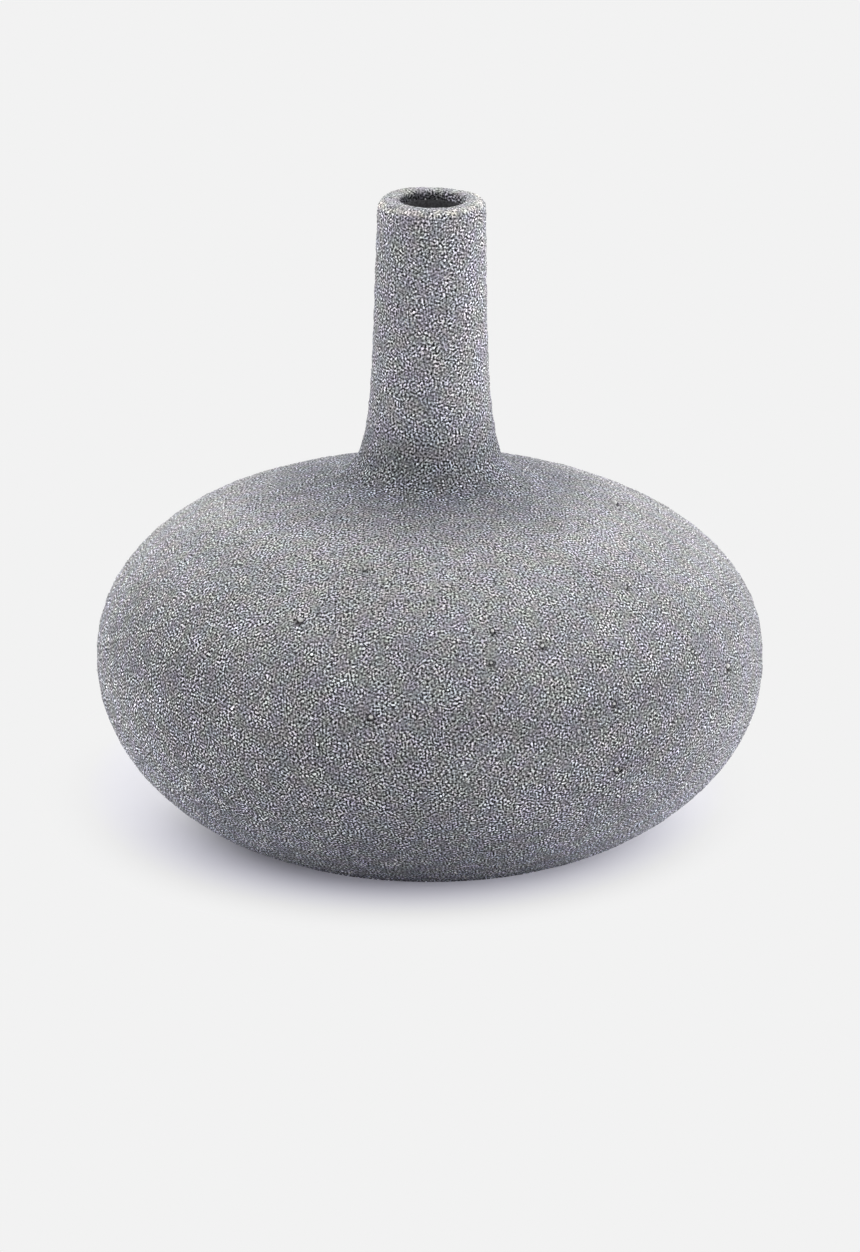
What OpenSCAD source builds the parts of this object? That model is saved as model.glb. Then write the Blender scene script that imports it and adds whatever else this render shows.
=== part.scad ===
// Stoneware vase: a wide low body under a narrow neck.
// It is built as a potter builds it: two thrown bowls joined rim to rim, a thrown
// neck set into the shoulder and a foot ring under the base, each joint bedded in slip.
// The origin is at the centre of the foot, on the table, and +Z is up.

/* [Body] */
// Greatest radius of the body, at its equator
body_r = 80; // [60:0.5:110]
// Height of the equator above the table
equator_z = 45; // [34:0.5:60]
// Rise of the shoulder dome above the equator
dome_h = 46; // [34:0.5:60]
// Fullness of the dome's outline, where 2 is a plain ellipse
dome_power = 2.2; // [1.9:0.05:2.6]
// Fullness of the lower bowl's outline, where 2 is a plain ellipse
bowl_power = 2.1; // [1.9:0.05:2.6]
// Wall of both bowls at the belly
wall = 5; // [4.5:0.25:7]
// Thickness of the dome at its crown, under the neck
crown_t = 6; // [5:0.25:8]
// Thickness of the floor
floor_t = 6; // [4.5:0.25:9]

/* [Foot ring] */
// Outer radius of the standing edge
foot_r = 41.5; // [32:0.5:50]
// Width of the standing edge
foot_w = 6; // [4:0.25:9]
// Height of the foot ring
foot_h = 5.5; // [4.5:0.25:8]
// Depth that the foot ring is let into the bowl
foot_step = 1.5; // [1:0.25:2.5]
// Rounding of the standing edge
foot_round = 1; // [0.5:0.1:1.5]

/* [Neck] */
// Height of the whole vase
height = 157.5; // [130:0.5:200]
// Outer radius of the neck at the lip
lip_r = 13; // [12:0.25:17]
// Outer radius that the straight neck would have at its root
neck_r = 14.1; // [12:0.1:18]
// Radius of the clay bore
bore_r = 7.65; // [5:0.05:8.5]
// Rounding of the lip's outer edge
lip_round = 2; // [0.5:0.1:2.2]
// Rounding of the mouth's edge
mouth_round = 0.8; // [0.3:0.1:1]
// Distance that the flared root spreads beyond the straight neck
root_spread = 10.2; // [9:0.1:14]
// Radius of the hollow curve between the neck and the shoulder
root_fillet = 9; // [7:0.25:9.5]
// Lean of the neck where the hollow curve runs out into the flare
root_lean = 16; // [13:1:24]

/* [Joints] */
// Thickness of the slip in every joint
slip_t = 0.4; // [0.2:0.05:0.8]
// Height of the step in the belly joint
lap_h = 4; // [2:0.25:7]
// Thickness of the lower bowl's upstand in the belly joint
lap_t = 2.2; // [1.4:0.1:2.6]
// Depth of the rebate that the neck's flange sits in
neck_step = 1.6; // [1:0.1:2]
// Outer radius of the neck's spigot
spigot_r = 13; // [11:0.25:16]

/* [Surface] */
// Thickness of the glaze inside
glaze_t = 0.4; // [0.2:0.05:0.8]
// Distance from the lip down to the glaze line
glaze_gap = 2.4; // [1.4:0.2:20]
// Radius of the largest coarse grain
grain_r = 1; // [0.5:0.05:1.4]
// Share of a grain's radius that its centre lies under the surface
grain_sink = 0.35; // [0.1:0.05:0.6]

/* [Quality] */
// Points along each long curve of an outline
curve_steps = 26; // [12:1:48]
// Points along each small rounding
round_steps = 5; // [3:1:10]

/* [Hidden] */
$fn = 96;

clay_colour = [0.52, 0.53, 0.54];
slip_colour = [0.46, 0.47, 0.49];
glaze_colour = [0.16, 0.16, 0.18];
grain_colour = [0.86, 0.85, 0.80];

// The lower bowl's ellipse is deeper than the bowl, so that it meets the table at foot_r.
bowl_depth = equator_z / pow(1 - pow(foot_r / body_r, bowl_power), 1 / bowl_power);
crown_z = equator_z + dome_h;

// Inner surface, as the clearance t inwards from the bare clay.
function in_r(t) = body_r - wall - t;
function in_dome_h(t) = dome_h - crown_t - t;
function in_depth(t) = bowl_depth - wall - t;
function floor_z(t) = foot_h + slip_t + floor_t + t;

// Height and radius on an oval arc with the given half width, rise and fullness.
function rise_at(r, half_w, rise, power) = rise * pow(1 - pow(r / half_w, power), 1 / power);
function radius_at(z, half_w, rise, power) = half_w * pow(1 - pow(abs(z) / rise, power), 1 / power);

// Outer surface of the body.
function dome_z(r) = equator_z + rise_at(r, body_r, dome_h, dome_power);
function bowl_z(r) = equator_z - rise_at(r, body_r, bowl_depth, bowl_power);
function dome_r(z) = radius_at(z - equator_z, body_r, dome_h, dome_power);
function bowl_r(z) = radius_at(equator_z - z, body_r, bowl_depth, bowl_power);
function body_r_at(z) = z > equator_z ? dome_r(z) : bowl_r(z);

// Inner surface of the body, with a layer of thickness t on it.
function in_dome_z(r, t) = equator_z + rise_at(r, in_r(t), in_dome_h(t), dome_power);
function in_dome_r(z, t) = radius_at(z - equator_z, in_r(t), in_dome_h(t), dome_power);
function in_bowl_r(z, t) = radius_at(equator_z - z, in_r(t), in_depth(t), bowl_power);

// Points on an oval arc from radius r1 to radius r2, in even steps of its own angle.
// side is 1 for the dome, above the equator, and -1 for the bowl, below it.
function oval_angle(r, half_w, power) = acos(min(1, pow(r / half_w, power / 2)));
function oval(r1, r2, half_w, rise, power, side) =
    let (a1 = oval_angle(r1, half_w, power), a2 = oval_angle(r2, half_w, power))
    [for (i = [0 : curve_steps]) let (a = a1 + (a2 - a1) * i / curve_steps)
        [half_w * pow(cos(a), 2 / power), equator_z + side * rise * pow(sin(a), 2 / power)]];

// Points on a circular arc about a centre.
function arc(centre, r, a1, a2, steps) =
    [for (i = [0 : steps]) let (a = a1 + (a2 - a1) * i / steps) centre + r * [cos(a), sin(a)]];

// Foot joint: the ring sits in a shallow socket turned in the bowl.
foot_in_r = foot_r - foot_w;
ring_r = bowl_r(foot_h - foot_step);
socket_r = ring_r + slip_t;

// Belly joint: the lower bowl's upstand stands inside the upper bowl's skirt.
upstand_r = in_r(0) + lap_t;
skirt_r = upstand_r + slip_t;
lap_z = equator_z + lap_h;

// Neck joint: the flange sits in a rebate, and the spigot goes through the throat.
root_r = neck_r + root_spread;
seat_z = dome_z(root_r) - neck_step;
rebate_r = root_r + slip_t;
throat_r = spigot_r + slip_t;
throat_z = in_dome_z(throat_r, 0);
glaze_z = height - glaze_gap;

// Root of the neck: the hollow curve leaves the shoulder along its slope.
slope_step = 0.5;
shoulder_slope = atan((dome_z(root_r - slope_step) - dome_z(root_r + slope_step)) / (2 * slope_step));
fillet_c = [root_r, dome_z(root_r)] + root_fillet * [sin(shoulder_slope), cos(shoulder_slope)];
flare_start = fillet_c - root_fillet * [cos(root_lean), sin(root_lean)];
taper = (neck_r - lip_r) / (height - flare_start.y);
flare_r = flare_start.x - neck_r;
flare_decay = flare_r / (tan(root_lean) - taper);
function neck_r_at(z) = lip_r + taper * (height - z) + flare_r * exp(-(z - flare_start.y) / flare_decay);

// Coarse grains: angle round the body from the front, then the height as a share of the
// body's height, then the radius as a share of the largest grain's.
grains = [
    [-26, 0.77, 0.85], [-10, 0.56, 0.7], [21, 0.72, 0.55], [34, 0.38, 0.7], [63, 0.57, 0.9],
    [-76, 0.57, 0.6], [12, 0.76, 0.6], [11, 0.69, 0.4], [122, 0.71, 0.8], [163, 0.46, 0.65],
    [-152, 0.8, 0.6], [-118, 0.41, 0.75]
];

module revolve(points) {
    rotate_extrude(angle = 360) polygon(points);
}

// One grain, centred just under the surface. Its pit in the clay has the same shape.
module grain(place) {
    z = place[1] * crown_z;
    r = place[2] * grain_r;
    rotate([0, 0, place[0]]) translate([0, -body_r_at(z) + grain_sink * r, z]) sphere(r = r, $fn = 24);
}

module all_grains() {
    for (place = grains) grain(place);
}

module pitted() {
    difference() {
        children();
        all_grains();
    }
}

module foot_ring() {
    color(clay_colour) revolve(concat(
        arc([foot_in_r + foot_round, foot_round], foot_round, 180, 270, round_steps),
        arc([foot_r - foot_round / 2, foot_round / 2], foot_round / 2, 270, 315, round_steps),
        oval(bowl_r(foot_round), ring_r, body_r, bowl_depth, bowl_power, -1),
        [[ring_r, foot_h], [foot_in_r, foot_h]]
    ));
}

module foot_slip_joint() {
    color(slip_colour) revolve([
        [ring_r, foot_h - foot_step],
        [socket_r, bowl_z(socket_r)],
        [socket_r, foot_h + slip_t],
        [foot_in_r, foot_h + slip_t],
        [foot_in_r, foot_h],
        [ring_r, foot_h]
    ]);
}

module lower_bowl() {
    floor_r = in_bowl_r(floor_z(0), 0);
    color(clay_colour) pitted() revolve(concat(
        [[0, foot_h + slip_t], [socket_r, foot_h + slip_t]],
        oval(socket_r, body_r, body_r, bowl_depth, bowl_power, -1),
        [[upstand_r, equator_z], [upstand_r, lap_z], [in_dome_r(lap_z, 0), lap_z]],
        oval(in_r(0), floor_r, in_r(0), in_depth(0), bowl_power, -1),
        [[0, floor_z(0)]]
    ));
}

module belly_slip_joint() {
    color(slip_colour) pitted() revolve([
        [body_r, equator_z],
        [dome_r(equator_z + slip_t), equator_z + slip_t],
        [skirt_r, equator_z + slip_t],
        [skirt_r, lap_z + slip_t],
        [in_dome_r(lap_z + slip_t, 0), lap_z + slip_t],
        [in_dome_r(lap_z, 0), lap_z],
        [upstand_r, lap_z],
        [upstand_r, equator_z]
    ]);
}

module upper_bowl() {
    color(clay_colour) pitted() revolve(concat(
        [[skirt_r, equator_z + slip_t]],
        oval(dome_r(equator_z + slip_t), rebate_r, body_r, dome_h, dome_power, 1),
        [[rebate_r, seat_z], [throat_r, seat_z]],
        oval(throat_r, in_dome_r(lap_z + slip_t, 0), in_r(0), in_dome_h(0), dome_power, 1),
        [[skirt_r, lap_z + slip_t]]
    ));
}

module neck_slip_joint() {
    color(slip_colour) revolve([
        [rebate_r, dome_z(rebate_r)],
        [root_r, dome_z(root_r)],
        [root_r, seat_z + slip_t],
        [spigot_r, seat_z + slip_t],
        [spigot_r, throat_z],
        [throat_r, throat_z],
        [throat_r, seat_z],
        [rebate_r, seat_z]
    ]);
}

module neck() {
    flare_top = height - lip_round;
    color(clay_colour) revolve(concat(
        [[bore_r, throat_z], [spigot_r, throat_z], [spigot_r, seat_z + slip_t], [root_r, seat_z + slip_t]],
        arc(fillet_c, root_fillet, 270 - shoulder_slope, 180 + root_lean, curve_steps / 2),
        [for (i = [1 : curve_steps - 1])
            let (z = flare_start.y + (flare_top - flare_start.y) * pow(i / curve_steps, 1.5))
            [neck_r_at(z), z]],
        arc([neck_r_at(flare_top) - lip_round, flare_top], lip_round, 0, 90, round_steps),
        arc([bore_r + mouth_round, height - mouth_round], mouth_round, 90, 180, round_steps)
    ));
}

module liner_glaze() {
    lined_r = bore_r - glaze_t;
    lined_floor_r = in_bowl_r(floor_z(glaze_t), glaze_t);
    color(glaze_colour) revolve(concat(
        [[0, floor_z(0)]],
        oval(in_bowl_r(floor_z(0), 0), in_r(0), in_r(0), in_depth(0), bowl_power, -1),
        [[in_dome_r(lap_z, 0), lap_z]],
        oval(in_dome_r(lap_z + slip_t, 0), throat_r, in_r(0), in_dome_h(0), dome_power, 1),
        [[bore_r, throat_z], [bore_r, glaze_z], [lined_r, glaze_z], [lined_r, in_dome_z(throat_r, glaze_t)]],
        oval(throat_r, in_r(glaze_t), in_r(glaze_t), in_dome_h(glaze_t), dome_power, 1),
        oval(in_r(glaze_t), lined_floor_r, in_r(glaze_t), in_depth(glaze_t), bowl_power, -1),
        [[0, floor_z(glaze_t)]]
    ));
}

module grog_grains() {
    color(grain_colour) all_grains();
}

foot_ring();
foot_slip_joint();
lower_bowl();
belly_slip_joint();
upper_bowl();
neck_slip_joint();
neck();
liner_glaze();
grog_grains();
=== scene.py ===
import math
import random

import bpy
import numpy as np
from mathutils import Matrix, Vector


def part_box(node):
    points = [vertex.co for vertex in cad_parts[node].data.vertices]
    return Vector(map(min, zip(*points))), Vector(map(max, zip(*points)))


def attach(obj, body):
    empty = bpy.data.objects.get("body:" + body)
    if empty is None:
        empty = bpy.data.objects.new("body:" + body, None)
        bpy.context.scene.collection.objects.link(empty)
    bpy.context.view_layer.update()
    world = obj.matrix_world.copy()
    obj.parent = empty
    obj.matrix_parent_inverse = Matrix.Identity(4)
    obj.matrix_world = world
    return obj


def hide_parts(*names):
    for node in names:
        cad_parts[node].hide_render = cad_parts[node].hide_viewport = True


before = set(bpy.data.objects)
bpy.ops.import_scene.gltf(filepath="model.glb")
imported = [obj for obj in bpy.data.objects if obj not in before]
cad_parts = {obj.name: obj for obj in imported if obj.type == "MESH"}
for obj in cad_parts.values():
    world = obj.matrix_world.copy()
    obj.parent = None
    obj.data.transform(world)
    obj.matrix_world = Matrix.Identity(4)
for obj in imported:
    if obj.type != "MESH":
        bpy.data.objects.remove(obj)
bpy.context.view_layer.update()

# sizes of the vase, in metres, taken from the parts in model.glb where they give them

def corners(node):
    low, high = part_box(node)
    return Vector(low), Vector(high)


ringHigh = corners("foot_ring")[1]
bowlHigh = corners("lower_bowl")[1]
domeLow, domeHigh = corners("upper_bowl")
footSlipLow, footSlipHigh = corners("foot_slip_joint")
bellySlipLow, bellySlipHigh = corners("belly_slip_joint")
neckSlipHigh = corners("neck_slip_joint")[1]
neckLow, neckHigh = corners("neck")
glazeLow, glazeHigh = corners("liner_glaze")

bodyR = (domeHigh.x - domeLow.x) / 2
equatorZ = bellySlipLow.z
vase = {
    "domeRise": 0.046,
    "domePower": 2.2,        # fullness of the shoulder's curve, where 2 is an ellipse
    "bowlPower": 2.1,
    "footR": 0.0415,
    "footWidth": 0.006,
    "footRound": 0.001,
    "wall": 0.005,
    "crownWall": 0.006,
    "slip": 0.0004,
    "lapWall": 0.0022,       # the thinned wall where the two bowls overlap
    "lipR": 0.013,
    "neckR": 0.0141,
    "boreR": 0.00765,
    "spigotR": 0.013,
    "neckStep": 0.0016,
    "rootFillet": 0.009,
    "rootLean": 16,          # degrees from upright, where the curve meets the tube
    "lipRound": 0.0026,
    "mouthRound": 0.0009,
    "glaze": 0.0004,
}
footR = vase["footR"]
slip = vase["slip"]
inR = bodyR - vase["wall"]
inRise = vase["domeRise"] - vase["crownWall"]
bowlDepth = equatorZ / (1 - (footR / bodyR) ** vase["bowlPower"]) ** (1 / vase["bowlPower"])
inDepth = bowlDepth - vase["wall"]
crownZ = equatorZ + vase["domeRise"]
rootR = (neckHigh.x - neckLow.x) / 2
floorZ = glazeLow.z
throatR = vase["spigotR"] + slip

# outlines are lists of (radius, height)

def rise(r, halfWidth, height, power):
    return height * max(0.0, 1 - (r / halfWidth) ** power) ** (1 / power)


def reach(z, halfWidth, height, power):
    return halfWidth * max(0.0, 1 - abs(z / height) ** power) ** (1 / power)


def domeZ(r):
    return equatorZ + rise(r, bodyR, vase["domeRise"], vase["domePower"])


def bodyRAt(z):
    if z > equatorZ:
        return reach(z - equatorZ, bodyR, vase["domeRise"], vase["domePower"])
    return reach(equatorZ - z, bodyR, bowlDepth, vase["bowlPower"])


seatZ = domeZ(rootR) - vase["neckStep"]


def evenSteps(fine, spacing):
    # the same line with its points at an even spacing
    walked = [0.0]
    for a, b in zip(fine, fine[1:]):
        walked.append(walked[-1] + math.dist(a, b))
    count = max(1, round(walked[-1] / spacing))
    marks = [walked[-1] * i / count for i in range(count + 1)]
    rs = np.interp(marks, walked, [p[0] for p in fine])
    zs = np.interp(marks, walked, [p[1] for p in fine])
    return [(float(r), float(z)) for r, z in zip(rs, zs)]


def oval(r1, r2, halfWidth, height, power, side, spacing):
    # from radius r1 to r2 on a fuller ellipse, above the belly where side is 1 and below where it is -1
    steps = 800
    a1 = math.acos(min(1.0, (r1 / halfWidth) ** (power / 2)))
    a2 = math.acos(min(1.0, (r2 / halfWidth) ** (power / 2)))
    fine = []
    for i in range(steps + 1):
        a = a1 + (a2 - a1) * i / steps
        fine.append((halfWidth * max(0.0, math.cos(a)) ** (2 / power),
                     equatorZ + side * height * max(0.0, math.sin(a)) ** (2 / power)))
    return evenSteps(fine, spacing)


def arc(centre, r, a1, a2, steps):
    angles = [math.radians(a1 + (a2 - a1) * i / steps) for i in range(steps + 1)]
    return [(centre[0] + r * math.cos(a), centre[1] + r * math.sin(a)) for a in angles]


def domeOutline(r1, r2, spacing):
    return oval(r1, r2, bodyR, vase["domeRise"], vase["domePower"], 1, spacing)


def bowlOutline(r1, r2, spacing):
    return oval(r1, r2, bodyR, bowlDepth, vase["bowlPower"], -1, spacing)


def innerDome(r1, r2, offset, spacing):
    return oval(r1, r2, inR - offset, inRise - offset, vase["domePower"], 1, spacing)


def innerBowl(r1, r2, offset, spacing):
    return oval(r1, r2, inR - offset, inDepth - offset, vase["bowlPower"], -1, spacing)


def floorEdgeR(z, offset):
    return reach(equatorZ - z, inR - offset, inDepth - offset, vase["bowlPower"])


def neckOutline(spacing):
    # the hollow curve leaves the shoulder along its slope and runs out into a straight tapered tube
    step = 0.0005
    tubeSteps = 300
    slope = math.atan((domeZ(rootR - step) - domeZ(rootR + step)) / (2 * step))
    fillet = vase["rootFillet"]
    centre = (rootR + fillet * math.sin(slope), domeZ(rootR) + fillet * math.cos(slope))
    lean = math.radians(vase["rootLean"])
    startR = centre[0] - fillet * math.cos(lean)
    startZ = centre[1] - fillet * math.sin(lean)
    taper = (vase["neckR"] - vase["lipR"]) / (neckHigh.z - startZ)
    flare = startR - vase["neckR"]
    decay = flare / (math.tan(lean) - taper)
    lipZ = neckHigh.z - vase["lipRound"]
    fine = arc(centre, fillet, 270 - math.degrees(slope), 180 + vase["rootLean"], 40)
    for i in range(1, tubeSteps + 1):
        z = startZ + (lipZ - startZ) * i / tubeSteps
        tubeR = vase["lipR"] + taper * (neckHigh.z - z)
        fine.append((tubeR + flare * math.exp((startZ - z) / decay), z))
    lipEdge = fine[-1][0]
    fine += arc((lipEdge - vase["lipRound"], lipZ), vase["lipRound"], 0, 90, 20)
    mouthR = vase["boreR"] + vase["mouthRound"]
    fine += arc((mouthR, neckHigh.z - vase["mouthRound"]), vase["mouthRound"], 90, 180, 12)
    fine.append((vase["boreR"], glazeHigh.z))
    return evenSteps(fine, spacing)


# modelling, as by hand
weldGap = 0.000002
sharpEdge = 50               # degrees, above which an edge is not smoothed


def clearSelection():
    if bpy.context.object and bpy.context.object.mode != "OBJECT":
        bpy.ops.object.mode_set(mode="OBJECT")
    bpy.ops.object.select_all(action="DESELECT")


def pick(piece):
    clearSelection()
    piece.select_set(True)
    bpy.context.view_layer.objects.active = piece


def turnSheet(name, outline, steps):
    # draws the outline by pulling one point along it, then turns it round the axis
    clearSelection()
    bpy.ops.mesh.primitive_plane_add(size=0.001, location=(outline[0][0], 0, outline[0][1]))
    sheet = bpy.context.object
    sheet.name = name
    bpy.ops.object.transform_apply(location=True, rotation=False, scale=False)
    bpy.ops.object.mode_set(mode="EDIT")
    bpy.ops.mesh.select_all(action="SELECT")
    bpy.ops.mesh.merge(type="CENTER")
    for a, b in zip(outline, outline[1:]):
        bpy.ops.mesh.extrude_region_move(TRANSFORM_OT_translate={"value": (b[0] - a[0], 0, b[1] - a[1])})
    bpy.ops.object.mode_set(mode="OBJECT")
    bpy.ops.object.modifier_add(type="SCREW")
    turn = sheet.modifiers[-1]
    turn.steps = steps
    turn.render_steps = steps
    turn.use_merge_vertices = True
    turn.merge_threshold = weldGap
    bpy.ops.object.modifier_apply(modifier=turn.name)
    faceRightOf(sheet, outline)
    return sheet


def faceRightOf(sheet, outline):
    # an outline runs round the clay with the clay on its left, so its faces look to its right
    pick(sheet)
    bpy.ops.object.mode_set(mode="EDIT")
    bpy.ops.mesh.select_all(action="SELECT")
    bpy.ops.mesh.normals_make_consistent(inside=False)
    bpy.ops.object.mode_set(mode="OBJECT")
    agreement = 0.0
    sampledFaces = list(sheet.data.polygons)[::97]
    for face in sampledFaces:
        centre = face.center
        r = math.hypot(centre.x, centre.y)

        def gapTo(segment):
            (r1, z1), (r2, z2) = segment
            return math.dist(((r1 + r2) / 2, (z1 + z2) / 2), (r, centre.z))

        a, b = min(zip(outline, outline[1:]), key=gapTo)
        facingOut = (face.normal.x * centre.x + face.normal.y * centre.y) / r
        agreement += facingOut * (b[1] - a[1]) - face.normal.z * (b[0] - a[0])
    if agreement < 0:
        bpy.ops.object.mode_set(mode="EDIT")
        bpy.ops.mesh.select_all(action="SELECT")
        bpy.ops.mesh.flip_normals()
        bpy.ops.object.mode_set(mode="OBJECT")


def pushOut(piece, layers):
    # roughens the faces by one layer of pattern after another
    pick(piece)
    for number, (kind, size, height, level, others) in enumerate(layers):
        pattern = bpy.data.textures.new(f"{piece.name}Layer{number}", kind)
        pattern.noise_scale = size
        for key, value in others.items():
            setattr(pattern, key, value)
        bpy.ops.object.modifier_add(type="DISPLACE")
        push = piece.modifiers[-1]
        push.texture = pattern
        push.texture_coords = "LOCAL"
        push.strength = height
        push.mid_level = level
        bpy.ops.object.modifier_apply(modifier=push.name)


def points(piece):
    flat = np.empty(len(piece.data.vertices) * 3)
    piece.data.vertices.foreach_get("co", flat)
    return flat.reshape(-1, 3)


def joinSheets(skin, *linings):
    clearSelection()
    for lining in linings:
        lining.select_set(True)
    skin.select_set(True)
    bpy.context.view_layer.objects.active = skin
    bpy.ops.object.join()
    return skin


def bridgeWhere(piece, inRange):
    # joins the two open rims whose edges pass the test on radius and height
    mesh = piece.data
    edgeOfLoop = np.empty(len(mesh.loops), dtype=np.int32)
    mesh.loops.foreach_get("edge_index", edgeOfLoop)
    uses = np.bincount(edgeOfLoop, minlength=len(mesh.edges))
    pick(piece)
    bpy.ops.object.mode_set(mode="EDIT")
    bpy.ops.mesh.select_mode(type="EDGE")
    bpy.ops.mesh.select_all(action="DESELECT")
    bpy.ops.object.mode_set(mode="OBJECT")
    for i in np.nonzero(uses == 1)[0]:
        edge = mesh.edges[int(i)]
        middle = (mesh.vertices[edge.vertices[0]].co + mesh.vertices[edge.vertices[1]].co) / 2
        edge.select = inRange(math.hypot(middle.x, middle.y), middle.z)
    bpy.ops.object.mode_set(mode="EDIT")
    bpy.ops.mesh.bridge_edge_loops()
    bpy.ops.mesh.select_mode(type="VERT")
    bpy.ops.object.mode_set(mode="OBJECT")


# a hand-thrown form isn't true: each place here is drawn the given way, fading over its reach
unevenness = {
    "low": (-0.084, -0.084, -0.006),
    "high": (0.084, 0.084, 0.166),
    "points": (17, 17, 25),
    "pulls": [               # where, how far it reaches, which way and how much
        ((0, 0, 0.180), 0.055, (0.0010, 0, 0)),
        ((0, -0.016, 0.159), 0.032, (0, 0, -0.0010)),
        ((0.013, 0, 0.159), 0.018, (0, 0, 0.0003)),
        ((0.062, 0, 0.088), 0.050, (0, 0, -0.0012)),
        ((0.032, 0.028, 0.088), 0.028, (0, 0, -0.0006)),
        ((-0.032, 0.028, 0.088), 0.028, (0, 0, -0.0003)),
        ((-0.0105, 0.0105, 0.160), 0.016, (0, 0, 0.0013)),
        ((-0.045, 0.01, 0.080), 0.050, (-0.0003, 0, 0.0006)),
        ((-0.0165, 0, 0.099), 0.016, (0.0008, 0, 0)),
    ],
}


def makeCage():
    clearSelection()
    low, high = Vector(unevenness["low"]), Vector(unevenness["high"])
    bpy.ops.object.add(type="LATTICE", location=(low + high) / 2)
    cage = bpy.context.object
    cage.name = "unevenness"
    cage.scale = high - low
    cage.data.points_u, cage.data.points_v, cage.data.points_w = unevenness["points"]
    bpy.context.view_layer.update()
    for point in cage.data.points:
        spot = cage.matrix_world @ point.co
        for centre, spreadOut, pull in unevenness["pulls"]:
            fade = max(0.0, 1 - ((spot - Vector(centre)).length / spreadOut) ** 2) ** 2
            spot = spot + Vector(pull) * fade
        point.co_deform = cage.matrix_world.inverted() @ spot
    return cage


cage = makeCage()


def finishPiece(piece, node, finish, sharpAngle=sharpEdge):
    pick(piece)
    bpy.ops.object.modifier_add(type="LATTICE")
    piece.modifiers[-1].object = cage
    bpy.ops.object.modifier_apply(modifier=piece.modifiers[-1].name)
    bpy.ops.object.mode_set(mode="EDIT")
    bpy.ops.mesh.select_all(action="SELECT")
    bpy.ops.mesh.remove_doubles(threshold=weldGap)
    bpy.ops.mesh.normals_make_consistent(inside=False)
    bpy.ops.object.mode_set(mode="OBJECT")
    bpy.ops.object.shade_smooth_by_angle(angle=math.radians(sharpAngle))
    piece.data.materials.clear()
    piece.data.materials.append(finish)
    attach(piece, "root")
    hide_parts(node)
    triangles = sum(len(f.vertices) - 2 for f in piece.data.polygons)
    print(f"{piece.name}: {triangles} triangles")


def addNode(tree, kind, **settings):
    node = tree.nodes.new(kind)
    for key, value in settings.items():
        setattr(node, key, value)
    return node


def feed(tree, node, **values):
    # sets or links inputs by name, with _ for a space, or by number as i0, i1
    for key, value in values.items():
        place = int(key[1:]) if key[0] == "i" and key[1:].isdigit() else key.replace("_", " ")
        socket = node.inputs[place]
        if isinstance(value, bpy.types.NodeSocket):
            tree.links.new(value, socket)
        else:
            socket.default_value = value
    return node


def maths(tree, operation, *values, clamp=False):
    node = addNode(tree, "ShaderNodeMath", operation=operation, use_clamp=clamp)
    feed(tree, node, **{f"i{i}": v for i, v in enumerate(values)})
    return node.outputs[0]


def spread(tree, value, low, high, toLow=0.0, toHigh=1.0, kind="SMOOTHSTEP"):
    node = addNode(tree, "ShaderNodeMapRange", interpolation_type=kind)
    feed(tree, node, Value=value, From_Min=low, From_Max=high, To_Min=toLow, To_Max=toHigh)
    return node.outputs["Result"]


def blendColours(tree, kind, factor, first, second):
    node = addNode(tree, "ShaderNodeMix", data_type="RGBA", blend_type=kind)
    feed(tree, node, i0=factor, i6=first, i7=second)
    return node.outputs[2]


def newGroup(name, inputs, outputs):
    tree = bpy.data.node_groups.new(name, "ShaderNodeTree")
    for label, kind, value in inputs:
        socket = tree.interface.new_socket(name=label, in_out="INPUT", socket_type=kind)
        socket.default_value = value
    for label, kind in outputs:
        tree.interface.new_socket(name=label, in_out="OUTPUT", socket_type=kind)
    return tree, addNode(tree, "NodeGroupInput").outputs, addNode(tree, "NodeGroupOutput").inputs


def noise(tree, place, scale, detail=0.0):
    node = addNode(tree, "ShaderNodeTexNoise")
    feed(tree, node, Vector=place, Scale=scale, Detail=detail)
    return node.outputs["Fac"]


def vectorMaths(tree, operation, *values, scale=None):
    node = addNode(tree, "ShaderNodeVectorMath", operation=operation)
    feed(tree, node, **{f"i{i}": v for i, v in enumerate(values)})
    if scale is not None:
        feed(tree, node, Scale=scale)
    return node.outputs[0]


noiseRange = (0.3, 0.7)      # what a noise seldom leaves


def patchy(tree, place, pattern, between):
    # patches that drift evenly between two values, where pattern is a noise's scale and detail
    return spread(tree, noise(tree, place, *pattern), *noiseRange, *between, "LINEAR")


def softPatches(tree, place, pattern):
    # patches from 0 to 1 with soft edges
    return spread(tree, noise(tree, place, *pattern), *noiseRange)


sandLook = {
    "compareAt": 1.3,        # grain sizes from a grain to the places it is compared with
    "compared": 6,           # how many places, evenly round it
    "turned": 10,            # degrees
    "darkest": 0.15,
    "roughPower": 2.8,       # how the grains stand out against the hollows in most places
    "litEvenPower": 1.0,       # and where the light is painted in on the lit shoulder and right side
    "paintedLightLift": 1.16,
    "sandier": (380.0, 1.0),
    "sandierBy": (0.55, 1.45),
    "bandStretch": (1, 1, 2.5),
    "bands": (60.0, 4.0),
    "bandShade": (0.90, 1.10),
    "pinkness": (300.0, 2.0),
    "blueness": (240.0, 2.0),
    "pink": (1.035, 0.98, 1.02, 1),
    "green": (0.965, 1.02, 0.98, 1),
    "blue": (0.995, 0.995, 1.06, 1),
    "yellow": (1.005, 1.005, 0.94, 1),
    "cellScale": 0.55,       # of the sand's scale
    "cellCore": (0.26, 0.42),
    "paleCells": (0.975, 0.985),
    "darkCells": (0.965, 0.975),
    "pale": (0.82, 0.80, 0.77, 1),
    "dark": (0.06, 0.06, 0.07, 1),
    "hollowScale": 0.7,      # of the sand's scale
    "hollows": (0.37, 0.32),
    # pinholes painted dark: painted shade
    "hollow": (0.05, 0.05, 0.06, 1),
}


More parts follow.
